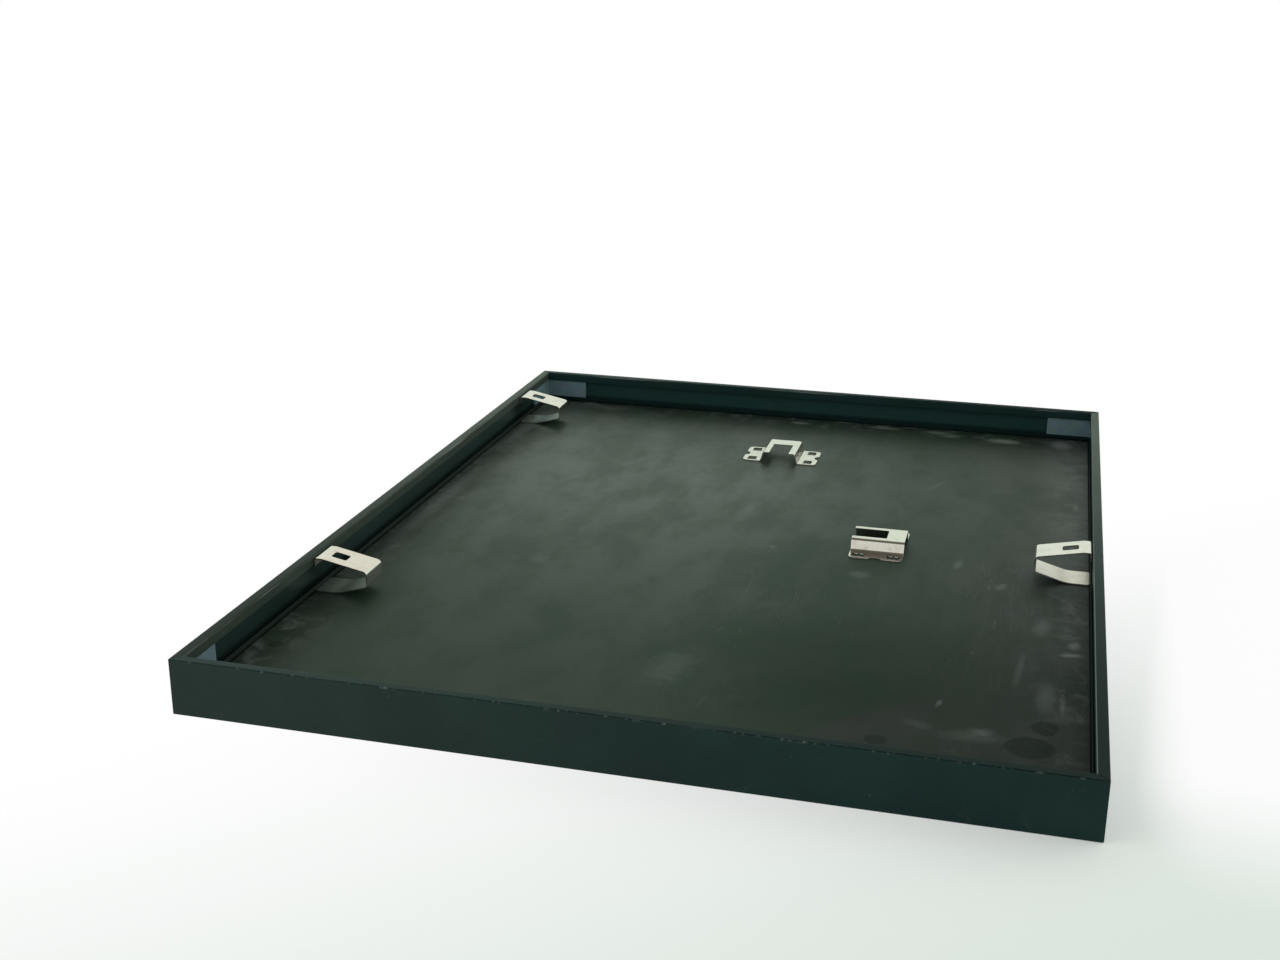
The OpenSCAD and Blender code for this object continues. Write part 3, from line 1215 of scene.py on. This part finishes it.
@dataclass
class Rails(SubAssembly):
    """Four mitred rails of one drawn section, with a channel between its rib and its rear lip.

    Args:
        width, length, depth: Outer size of the frame.
        wall: Thickness of the outer wall.
        front, front_thick: Width and thickness of the front face.
        lip, lip_thick: Width and thickness of the rear lip.
        lip_drop, lip_round: Depth of the flange below the lip, and radius of the lip's inner arris.
        hook: Thickness of the flange and of the rib's turned-up edge.
        rib_low, rib_thick: Height of the rib's underside, and its thickness.
        rib_hook, hook_round: Height of its turned-up edge, and radius of that edge's arrises.
        arris, fine, inside: Radii of the outer arrises, the other outside corners and the inside corners.
        mitre_gap, mitre_ease: Half of the joint line at the mitres, and how far the cut ends are eased.
    """

    width: float = 312.0
    length: float = 412.0
    depth: float = 21.0
    wall: float = 1.4
    front: float = 7.0
    front_thick: float = 1.4
    lip: float = 4.0
    lip_thick: float = 1.2
    lip_drop: float = 3.1
    lip_round: float = 0.7
    hook: float = 0.9
    rib_low: float = 5.65
    rib_thick: float = 0.8
    rib_hook: float = 1.05
    hook_round: float = 0.25
    arris: float = 0.3
    fine: float = 0.15
    inside: float = 0.12
    mitre_gap: float = 0.04
    mitre_ease: float = 0.10

    def section(self) -> list[Point]:
        """Section of a rail.

        Returns:
            Its outline: inwards from the outer face, then up from the front face.
        """
        inner = self.lip - self.hook
        channel = self.rib_low + self.rib_thick
        hook_top = channel + self.rib_hook
        lip_low = self.depth - self.lip_thick
        edge_low = lip_low - self.lip_drop
        corners = (
            (0.0, 0.0, self.arris),
            (self.front, 0.0, self.arris),
            (self.front, self.front_thick, self.fine),
            (self.wall, self.front_thick, self.inside),
            (self.wall, self.rib_low, self.inside),
            (self.lip, self.rib_low, self.fine),
            (self.lip, hook_top, self.hook_round),
            (inner, hook_top, self.hook_round),
            (inner, channel, self.inside),
            (self.wall, channel, self.inside),
            (self.wall, lip_low, self.inside),
            (inner, lip_low, self.inside),
            (inner, edge_low, self.fine),
            (self.lip, edge_low, self.fine),
            (self.lip, self.depth, self.lip_round),
            (0.0, self.depth, self.arris),
        )
        return rounded_outline([Corner(*corner) for corner in corners], steps=4)

    def rail(self, side: Side) -> bmesh.types.BMesh:
        """Mesh of one rail.

        Args:
            side: The rail's side.

        Returns:
            The mesh, in millimetres.
        """
        turn, grain = side.value
        size = (self.width, self.length)
        long, wide = size if grain is Grain.ALONG_X else size[::-1]
        angle = math.radians(turn)
        mesh = bmesh.new()
        rings = []
        for end in (-1.0, 1.0):
            ring = []
            for inwards, up in self.section():
                x, y = end * (long / 2 - self.mitre_gap - inwards), inwards - wide / 2
                spot = (x * math.cos(angle) - y * math.sin(angle), x * math.sin(angle) + y * math.cos(angle), up)
                ring.append(mesh.verts.new(spot))
            rings.append(ring)
        first, last = rings
        for a, b, c, d in zip(first, first[1:] + first[:1], last[1:] + last[:1], last):
            mesh.faces.new((a, b, c, d))
        ends = [mesh.faces.new(ring) for ring in rings]
        bmesh.ops.recalc_face_normals(mesh, faces=mesh.faces[:])
        rim = [edge for face in ends for edge in face.edges]
        bmesh.ops.bevel(mesh, geom=rim, offset=self.mitre_ease, segments=1, affect="EDGES", clamp_overlap=True)
        split_wide_faces(mesh)
        return mesh

    def build(self) -> None:
        """Builds and dresses the four rails."""
        halves = {Grain.ALONG_X: self.length / 2, Grain.ALONG_Y: self.width / 2}
        finishes = {
            grain: AnodisedBlack(f"black_{grain.name.lower()}", grain, half, self.lip, self.depth).material()
            for grain, half in halves.items()
        }
        for side in Side:
            name = f"rail_{side.name.lower()}"
            self.add(f"{name}_section", self.rail(side), finishes[side.value[1]], name, "frame", "black_frame")


@dataclass
class CornerBrackets(SubAssembly):
    """Four bent plates that stand in the rails' channels at the corners.

    Args:
        half_width: Distance of the plate's middle line from the frame's middle, across.
        half_length: The same, along.
        leg: Length of each leg from the middle line's corner.
        thickness: Thickness of the plate.
        bend: Radius of the middle line's bend.
        low: Height of the plate's lower edge.
        high: Height of its upper edge.
        end_round: Radius of its corners.
        burr: How far its cut edges are rounded.
    """

    half_width: float = 153.75
    half_length: float = 203.75
    leg: float = 23.75
    thickness: float = 1.5
    bend: float = 1.55
    low: float = 6.55
    high: float = 19.7
    end_round: float = 1.2
    burr: float = 0.12

    def build(self) -> None:
        """Builds and dresses the four brackets."""
        material = ZincGrey("zinc_grey").material()
        x, y = -self.half_width, -self.half_length
        line = BentLine([Corner(x + self.leg, y), Corner(x, y, self.bend), Corner(x, y + self.leg)])
        plate = rounded_box((0.0, self.low), (line.length, self.high), self.end_round)
        sheet = SheetMetal(line, self.thickness, self.burr)
        for (row, along), (column, across) in itertools.product(
            (("bottom", 1), ("top", -1)), (("left", 1), ("right", -1))
        ):
            name = f"bracket_{row}_{column}"
            mesh = sheet.form(plate, (), lambda u, v, w, a=across, b=along: Vector((a * u, b * v, w)))
            self.add(f"{name}_plate", mesh, material, name, "frame", "zinc_steel")


@dataclass
class Package(SubAssembly):
    """Glazing, bare picture sheet and hardboard back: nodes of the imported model, dressed as they are.

    Args:
        nodes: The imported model's nodes.
    """

    nodes: Mapping[str, bpy.types.Object]

    def build(self) -> None:
        """Gives each of the three layers its finish."""
        for node, finish in (
            ("glazing", ClearGlazing("clear_glazing")),
            ("picture_sheet", InsertPaper("insert_paper")),
            ("back_board", Hardboard("dark_hardboard")),
        ):
            slots = self.nodes[node].data.materials
            slots.clear()
            slots.append(finish.material())
            log.info("%s: dressed as %s", node, finish.name)


@dataclass
class SpringClips(SubAssembly):
    """Hairpin clips that press the board down from the channels of the side rails.

    Args:
        half_frame: Half of the frame's width.
        width: Width of the strip.
        thickness: Its thickness.
        line: Corners of its middle line: inwards from the rail's outer face, then up from the front face.
        window: Near and far side of the window, from the rail's outer face.
        window_width: Width of the window.
        window_round: Radius of the window's corners.
        end_round: Radius of the strip's corners.
        burr: How far its cut edges are rounded.
        places: Name of each clip, side it points away from, and place along the rail.
    """

    half_frame: float = 156.0
    width: float = 14.5
    thickness: float = 0.5
    line: tuple[Corner, ...] = (
        Corner(2.3, 16.3),
        Corner(4.4, 16.3, 0.6),
        Corner(4.4, 19.75, 0.8),
        Corner(7.5, 19.75, 5.0),
        Corner(26.75, 15.9, 1.75),
        Corner(26.75, 9.6, 1.25),
        Corner(13.5, 5.8, 17.0),
        Corner(4.15, 5.8),
    )
    window: Point = (9.5, 16.0)
    window_width: float = 5.2
    window_round: float = 0.9
    end_round: float = 0.8
    burr: float = 0.14
    places: tuple[tuple[str, int, float], ...] = (
        ("left_lower", 1, -95.584),
        ("left_upper", 1, 157.796),
        ("right", -1, -3.502),
    )

    def build(self) -> None:
        """Builds and dresses the three clips."""
        material = RolledSteel("spring_strip", Grain.ALONG_X).material()
        line, half, opening = BentLine(self.line), self.width / 2, self.window_width / 2
        strip = rounded_box((0.0, -half), (line.length, half), self.end_round)
        near, far = (line.along_at(u) for u in self.window)
        window = rounded_box((near, -opening), (far, opening), self.window_round)
        sheet = SheetMetal(line, self.thickness, self.burr)
        for word, hand, along in self.places:
            name = f"clip_{word}"
            mesh = sheet.form(
                strip, (window,), lambda u, v, w, h=hand, y=along: Vector((h * (u - self.half_frame), y + w, v))
            )
            self.add(f"{name}_strip", mesh, material, name, f"{name}_body", "spring_steel")


@dataclass(frozen=True)
class HangerPlace:
    """Where a hanger sits.

    Args:
        name: Name of its way of hanging.
        x: Place of its middle.
        y: The same, along the frame.
        turned: Whether its slot runs along x, not along y.
    """

    name: str
    x: float
    y: float
    turned: bool

    def put(self, across: float, up: float, along: float) -> Vector:
        """Place in the model of a point of the hanger."""
        u, v = (along, -across) if self.turned else (across, along)
        return Vector((self.x + u, self.y + v, up))


@dataclass
class Hangers(SubAssembly):
    """Two stamped hangers, held on the board by teeth that are bent out of their feet.

    Args:
        board_top: Height of the board's back.
        length, width: Length along the slot, and width of the raised plate.
        base: Width between the outsides of the walls at the board.
        height: Height of the raised plate's top above the board.
        thickness, bend: Thickness of the sheet, and radius of its middle line's bends.
        burr: How far the sheet's cut edges are rounded.
        slot_width, slot_length: Size of the open slot.
        slot_round, mouth_round: Radii of the corners at its closed end and at its open end.
        foot, foot_round: Width of a foot from the wall's outside, and radius of its corners.
        scallop, scallop_radius: Depth and radius of the scallop in its outer edge.
        scallop_steps: Pieces in each half of the scallop.
        rim, end_rim: Sheet left between a window and the outer edge, and the foot's end.
        window, window_round: Size of a window, across and along the slot, and radius of its corners.
        tooth_gap, tooth_half: Gap between the two teeth of a window, and half of the width of both.
        tooth_root, tooth_in: Length of a tooth before its bend, and how far the bend is past the window's side.
        tooth_bend, tooth_drop: Radius of its bend, and its depth below the sheet's middle.
        tooth_tip, tip_round, tip_sides: Length of its point, and radii of the point and of where it starts.
        tooth_thin, tooth_burr: How much thinner it is than the sheet, and how far its edges are rounded.
        steel: Colour of the clean metal.
        places: Where the hangers sit.
    """

    board_top: float = 5.4
    length: float = 23.0
    width: float = 16.7
    base: float = 19.2
    height: float = 5.5
    thickness: float = 0.6
    bend: float = 1.0
    burr: float = 0.16
    slot_width: float = 10.0
    slot_length: float = 15.0
    slot_round: float = 0.6
    mouth_round: float = 0.3
    foot: float = 9.2
    foot_round: float = 2.6
    scallop: float = 2.0
    scallop_radius: float = 3.4
    scallop_steps: int = 6
    rim: float = 2.3
    end_rim: float = 1.3
    window: Point = (4.4, 5.4)
    window_round: float = 0.8
    tooth_gap: float = 0.7
    tooth_half: float = 2.1
    tooth_root: float = 0.7
    tooth_in: float = 0.1
    tooth_bend: float = 0.5
    tooth_drop: float = 2.2
    tooth_tip: float = 1.3
    tip_round: float = 0.15
    tip_sides: float = 0.3
    tooth_thin: float = 0.1
    tooth_burr: float = 0.06
    steel: Colour = (0.765, 0.670, 0.625)
    places: tuple[HangerPlace, ...] = (
        HangerPlace("portrait", -1.248, 128.956, False),
        HangerPlace("landscape", 62.712, 12.772, True),
    )

    @property
    def edge(self) -> float:
        """Distance of the feet's outer edges from the middle."""
        return self.base / 2 + self.foot

    @property
    def low(self) -> float:
        """Height of the feet's middle."""
        return self.board_top + self.thickness / 2

    def line(self) -> BentLine:
        """Middle line of the sheet.

        Returns:
            The line: across the slot, then up from the front face.
        """
        high = self.board_top + self.height - self.thickness / 2
        base, top = (self.base - self.thickness) / 2, (self.width - self.thickness) / 2
        bends = ((-base, self.low), (-top, high), (top, high), (base, self.low))
        bent = [Corner(u, v, self.bend) for u, v in bends]
        return BentLine([Corner(-self.edge, self.low), *bent, Corner(self.edge, self.low)])

    def scallop_arc(self, edge: float, hand: int) -> list[Corner]:
        """Points of the scallop in a foot's outer edge.

        Args:
            edge: Developed place of the edge.
            hand: 1 where the sheet lies at lower values, -1 where it lies at higher ones.

        Returns:
            The points, in the order in which the outline passes them.
        """
        radius = self.scallop_radius
        centre = edge + hand * (radius - self.scallop)
        reach = math.acos((radius - self.scallop) / radius)
        angles = [reach * (1 - i / self.scallop_steps) for i in range(2 * self.scallop_steps + 1)]
        return [Corner(centre - hand * radius * math.cos(a), -hand * radius * math.sin(a)) for a in angles]

    def outline(self, developed: float) -> list[Point]:
        """Flat outline with the open slot and the scallops.

        Args:
            developed: Developed width of the sheet.

        Returns:
            The outline's points.
        """
        end, middle, slot = self.length / 2, developed / 2, self.slot_width / 2
        closed = self.slot_length - end
        return rounded_outline(
            [
                Corner(0.0, -end, self.foot_round),
                Corner(middle - slot, -end, self.mouth_round),
                Corner(middle - slot, closed, self.slot_round),
                Corner(middle + slot, closed, self.slot_round),
                Corner(middle + slot, -end, self.mouth_round),
                Corner(developed, -end, self.foot_round),
                *self.scallop_arc(developed, 1),
                Corner(developed, end, self.foot_round),
                Corner(0.0, end, self.foot_round),
                *self.scallop_arc(0.0, -1),
            ]
        )

    def windows(self, developed: float) -> list[list[Point]]:
        """Flat outlines of the four foot windows.

        Args:
            developed: Developed width of the sheet.

        Returns:
            The outlines.
        """
        wide, long = self.window
        near, far = self.rim, self.rim + wide
        top = self.length / 2 - self.end_rim
        return [
            rounded_box((low, a), (high, b), self.window_round)
            for low, high in ((near, far), (developed - far, developed - near))
            for a, b in ((top - long, top), (-top, long - top))
        ]

    def teeth(self, place: HangerPlace) -> list[bmesh.types.BMesh]:
        """Meshes of the teeth, two at the wall side of each window.

        Args:
            place: Where the hanger sits.

        Returns:
            The meshes, in millimetres.
        """
        wide, long = self.window
        wall = self.edge - self.rim - wide
        middle = self.length / 2 - self.end_rim - long / 2
        root, bend = wall - self.tooth_root, wall + self.tooth_in
        corners = (
            Corner(root, self.low),
            Corner(bend, self.low, self.tooth_bend),
            Corner(bend, self.low - self.tooth_drop),
        )
        line = BentLine(corners)
        tip = line.length - self.tooth_tip
        sheet = SheetMetal(line, self.thickness - self.tooth_thin, self.tooth_burr)
        meshes = []
        for side, end, hand in itertools.product((-1, 1), repeat=3):
            near, far = sorted((hand * self.tooth_gap / 2, hand * self.tooth_half))
            flat = rounded_outline(
                [
                    Corner(0.0, near),
                    Corner(tip, near, self.tip_sides),
                    Corner(line.length, (near + far) / 2, self.tip_round),
                    Corner(tip, far, self.tip_sides),
                    Corner(0.0, far),
                ],
                steps=3,
            )
            meshes.append(sheet.form(flat, (), lambda u, v, w, s=side, e=end: place.put(s * u, v, e * middle + w)))
        return meshes

    def build(self) -> None:
        """Builds and dresses the two hangers."""
        finish = RolledSteel(
            "hanger_plate", Grain.ALONG_Z, self.steel, self.steel, stained=0.40, roughness=0.12, dulled=0.05
        )
        material = finish.material()
        line = self.line()
        sheet = SheetMetal(line, self.thickness, self.burr)
        for place in self.places:
            mesh = sheet.form(self.outline(line.length), self.windows(line.length), place.put)
            for tooth in self.teeth(place):
                data = bpy.data.meshes.new("tooth")
                tooth.to_mesh(data)
                tooth.free()
                mesh.from_mesh(data)
                bpy.data.meshes.remove(data)
            name = f"hanger_{place.name}"
            self.add(f"{name}_plate", mesh, material, name, "frame", "hanger_steel")


# ---------------------------------------------------------------- studio


class Lamp(NamedTuple):
    """Soft square lamp that points at the frame.

    Args:
        name: The lamp's name.
        at: Its place, in metres.
        size: Its side, in metres.
        power: Its power, in watts.
    """

    name: str
    at: Triple
    size: float
    power: float


@dataclass
class Studio:
    """Pale floor, soft light and the camera at the photograph's angle.

    Args:
        floor_colour: Colour of the floor.
        floor_reach, floor_drop: Half of its side, and how far it lies below the frame, in metres.
        far_fade: Distances from the frame's middle between which the floor turns white, in metres.
        back_fade, right_fade: The same for y less x, towards the back left, and for x, to the far right.
        painted_light_beside, side_front: Painted light: the same for x, beside the frame's right rail, where the floor
            is whitened over the frame's shadow, and for y, where that starts.
        camera_at, camera_turn: Place of the camera in metres, and its rotation as XYZ angles in degrees.
        lens, sensor: Its focal length and the width of its sensor, in millimetres.
        clip_start: Nearest distance that it sees, in metres.
        side_light, overhead_loss: Shares of light that the world adds from the right and loses overhead.
        sky_behind, sky_before: Colours that pieces mirror, by height, behind the frame and before it.
        lamps: The lamps.
    """

    floor_colour: Colour = (0.825, 0.92, 0.85)
    floor_reach: float = 9.0
    floor_drop: float = 0.0001
    far_fade: Step = (0.38, 1.10)
    back_fade: Step = (-0.50, -0.05)
    right_fade: Step = (0.16, 0.50)
    painted_light_beside: Step = (0.151, 0.187)
    side_front: Step = (-0.25, -0.15)
    camera_at: Triple = (0.12675, -0.64112, 0.25177)
    camera_turn: Triple = (71.527, -0.381, 14.974)
    lens: float = 44.27
    sensor: float = 36.0
    clip_start: float = 0.01
    side_light: float = 0.8
    overhead_loss: float = 0.65
    sky_behind: Stops = (
        (0.00, (0.80, 1.00, 0.87)),
        (0.30, (0.80, 1.00, 0.87)),
        (0.50, (0.87, 0.97, 0.84)),
        (0.62, (0.71, 0.76, 0.66)),
        (0.95, (0.20, 0.21, 0.19)),
    )
    sky_before: Stops = (
        (0.00, (0.89, 1.00, 0.93)),
        (0.30, (0.89, 1.00, 0.92)),
        (0.46, (0.32, 0.35, 0.30)),
        (0.60, (0.13, 0.14, 0.12)),
        (0.95, (0.11, 0.12, 0.10)),
    )
    lamps: tuple[Lamp, ...] = (
        Lamp("softbox_left", (-1.15, -0.65, 0.50), 1.1, 5.2),
        Lamp("softbox_back", (0.1, 1.1, 1.2), 1.4, 2.4),
        Lamp("softbox_right", (1.1, 0.35, 0.45), 0.9, 4.5),
    )

    def floor(self) -> None:
        """Builds the floor, which fades to white far from the frame, and has painted light that whitens the frame's
        shadow beside its right rail.
        """
        mesh = bmesh.new()
        bmesh.ops.create_grid(mesh, x_segments=24, y_segments=24, size=self.floor_reach)
        data = bpy.data.meshes.new("studio_floor")
        mesh.to_mesh(data)
        mesh.free()
        floor = bpy.data.objects.new("studio_floor", data)
        floor.location.z = -self.floor_drop
        bpy.context.scene.collection.objects.link(floor)
        material = bpy.data.materials.new("pale_floor")
        material.use_nodes = True
        graph = Graph(material.node_tree)
        spot = graph.node("TexCoord", out="Object")
        reach = graph.node("VectorMath", {0: spot}, "Value", operation="LENGTH")
        x, y, _ = graph.axes(spot)
        # Painted light: a strip of floor beside the frame's right rail is whitened where the frame's shadow falls.
        beside = x.rising(*self.painted_light_beside) * y.rising(*self.side_front) * 0.9
        paler = (y - x).rising(*self.back_fade).larger(beside).larger(x.rising(*self.right_fade))
        camera, mirrored = graph.rays()
        fade = paler.larger(reach.rising(*self.far_fade)) * camera.larger(mirrored)
        paper = graph.coat(Base_Color=self.floor_colour, Roughness=0.9, Specular_IOR_Level=0.1)
        white = graph.glow("Emission", (1.0, 1.0, 1.0))
        graph.surface(graph.mix_shaders(fade, paper, white))
        data.materials.append(material)
        floor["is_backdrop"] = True

    def world(self) -> None:
        """Makes the world: white to the camera, a soft sky in reflections, and a little less as light."""
        world = bpy.data.worlds.new("studio")
        bpy.context.scene.world = world
        world.use_nodes = True
        graph = Graph(world.node_tree, "ShaderNodeOutputWorld")
        across, back, height = graph.axes(graph.node("TexCoord", out="Generated"))
        camera, mirrored = graph.rays()
        far, near = (
            graph.node("ValToRGB", {0: height}, "Color", stops=stops) for stops in (self.sky_behind, self.sky_before)
        )
        backdrop = graph.mix(back.rising(0.10, -0.10), far, near)
        side = across.rising(-0.2, 0.9) * height.rising(0.85, 0.25)
        power = (1.0 + side * self.side_light) * (1.0 - height * self.overhead_loss)
        light = graph.glow("Background", (1.0, 1.0, 0.99), power)
        shown = graph.glow("Background", backdrop)
        white = graph.glow("Background", (1.0, 1.0, 1.0))
        graph.surface(graph.mix_shaders(camera, graph.mix_shaders(mirrored, light, shown), white))

    def light(self, lamp: Lamp) -> None:
        """Adds a lamp.

        Args:
            lamp: The lamp.
        """
        data = bpy.data.lights.new(lamp.name, "AREA")
        data.shape, data.size, data.energy = "SQUARE", lamp.size, lamp.power
        made = bpy.data.objects.new(lamp.name, data)
        made.visible_glossy = False
        made.location = lamp.at
        made.rotation_euler = (-Vector(lamp.at)).to_track_quat("-Z", "Y").to_euler()
        bpy.context.scene.collection.objects.link(made)

    def camera(self) -> None:
        """Adds the camera."""
        data = bpy.data.cameras.new("camera")
        data.sensor_width, data.lens, data.clip_start = self.sensor, self.lens, self.clip_start
        camera = bpy.data.objects.new("camera", data)
        camera.location = self.camera_at
        camera.rotation_euler = [math.radians(angle) for angle in self.camera_turn]
        bpy.context.scene.collection.objects.link(camera)
        bpy.context.scene.camera = camera

    def build(self) -> None:
        """Builds the studio."""
        bpy.context.scene.view_settings.view_transform = "Standard"
        self.camera()
        self.floor()
        self.world()
        for lamp in self.lamps:
            self.light(lamp)
        log.info("studio: floor, world, %d lamps and camera", len(self.lamps))


def corners() -> list[list[float]]:
    """Lowest and highest corner of what is shown, as plain lists."""
    return [[float(value) for value in corner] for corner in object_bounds()]


def main() -> None:
    """Builds the frame's sub-assemblies and the studio."""
    logging.basicConfig(level=logging.INFO, format="%(name)s: %(message)s")
    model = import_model()
    assemblies: list[SubAssembly] = [Rails(), CornerBrackets(), Package(model["nodes"]), SpringClips(), Hangers()]
    for assembly in assemblies:
        log.info("building %s", type(assembly).__name__)
        assembly.build()
    Studio().build()


if __name__ == "__main__":
    main()
